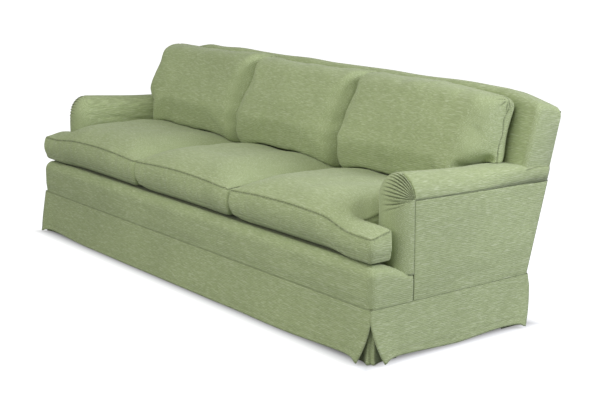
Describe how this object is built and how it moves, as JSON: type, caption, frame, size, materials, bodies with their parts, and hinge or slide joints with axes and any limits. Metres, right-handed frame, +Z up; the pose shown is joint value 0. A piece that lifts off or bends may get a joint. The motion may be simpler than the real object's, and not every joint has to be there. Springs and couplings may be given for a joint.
{
  "type": "three-seat sofa",
  "caption": "Upholstered three-seat sofa with rounded pleated arms, loose seat and back cushions, a leaning back with sloped shoulders and a skirt with kick pleats.",
  "frame": {"origin": "on the floor under the middle of the overall box", "axes": "+X along the length, the front faces -Y, +Z up"},
  "size_m": [2.44, 0.9552, 0.8506],
  "materials": {
    "cover_cloth": "sage green woven cloth with a fine rib and pale slub streaks",
    "cushion_fill": "feather and foam in cotton ticking",
    "stuffing": "cotton felt and horsehair",
    "lining": "plain weave lining",
    "jute": "jute",
    "beech": "planed beech",
    "stained_wood": "dark stain, satin",
    "steel": "drawn wire and zinc",
    "glide": "black nylon"
  },
  "bodies": {
    "sofa": {"arm_posts": "beech", "arm_rails": "beech", "arm_tack_rails": "beech", "back_cover": "cover_cloth", "back_hessian": "jute", "back_padding": "stuffing", "back_posts": "beech", "back_tack_rail": "beech", "back_top_rail": "beech", "back_uprights": "beech", "back_webbing": "jute", "block_screws": "steel", "corner_blocks": "beech", "corner_pleats": "cover_cloth", "deck_pad": "stuffing", "dust_cover": "lining", "front_edge_roll": "stuffing", "front_left_leg": "stained_wood", "front_rail": "beech", "front_right_leg": "stained_wood", "front_skirt": "cover_cloth", "glides": "glide", "lashing_twine": "jute", "left_arm_cover": "cover_cloth", "left_arm_padding": "stuffing", "left_outside_arm": "cover_cloth", "left_side_rail": "beech", "left_skirt": "cover_cloth", "leg_bolts": "steel", "middle_legs": "stained_wood", "outside_back": "cover_cloth", "platform_cloth": "lining", "platform_front": "cover_cloth", "rear_left_leg": "stained_wood", "rear_rail": "beech", "rear_right_leg": "stained_wood", "rear_skirt": "cover_cloth", "right_arm_cover": "cover_cloth", "right_arm_padding": "stuffing", "right_outside_arm": "cover_cloth", "right_side_rail": "beech", "right_skirt": "cover_cloth", "seat_hessian": "jute", "seat_springs": "steel", "seat_stretchers": "beech", "seat_webbing": "jute"},
    "left_seat": {"left_seat_cushion": "cover_cloth", "left_seat_fill": "cushion_fill"},
    "left_back": {"left_back_cushion": "cover_cloth", "left_back_fill": "cushion_fill"},
    "middle_seat": {"middle_seat_cushion": "cover_cloth", "middle_seat_fill": "cushion_fill"},
    "middle_back": {"middle_back_cushion": "cover_cloth", "middle_back_fill": "cushion_fill"},
    "right_seat": {"right_seat_cushion": "cover_cloth", "right_seat_fill": "cushion_fill"},
    "right_back": {"right_back_cushion": "cover_cloth", "right_back_fill": "cushion_fill"}
  },
  "joints": [
    {"name": "left_seat_pull", "type": "slide", "parent": "sofa", "child": "left_seat", "axis": [0, -0.9986, 0.0523], "range_m": [0, 0.75]},
    {"name": "left_back_lift", "type": "slide", "parent": "sofa", "child": "left_back", "axis": [0, 0.2723, 0.9622], "range_m": [0, 0.45]},
    {"name": "middle_seat_pull", "type": "slide", "parent": "sofa", "child": "middle_seat", "axis": [0, -0.9986, 0.0523], "range_m": [0, 0.75]},
    {"name": "middle_back_lift", "type": "slide", "parent": "sofa", "child": "middle_back", "axis": [0, 0.2723, 0.9622], "range_m": [0, 0.45]},
    {"name": "right_seat_pull", "type": "slide", "parent": "sofa", "child": "right_seat", "axis": [0, -0.9986, 0.0523], "range_m": [0, 0.75]},
    {"name": "right_back_lift", "type": "slide", "parent": "sofa", "child": "right_back", "axis": [0, 0.2723, 0.9622], "range_m": [0, 0.45]}
  ]
}
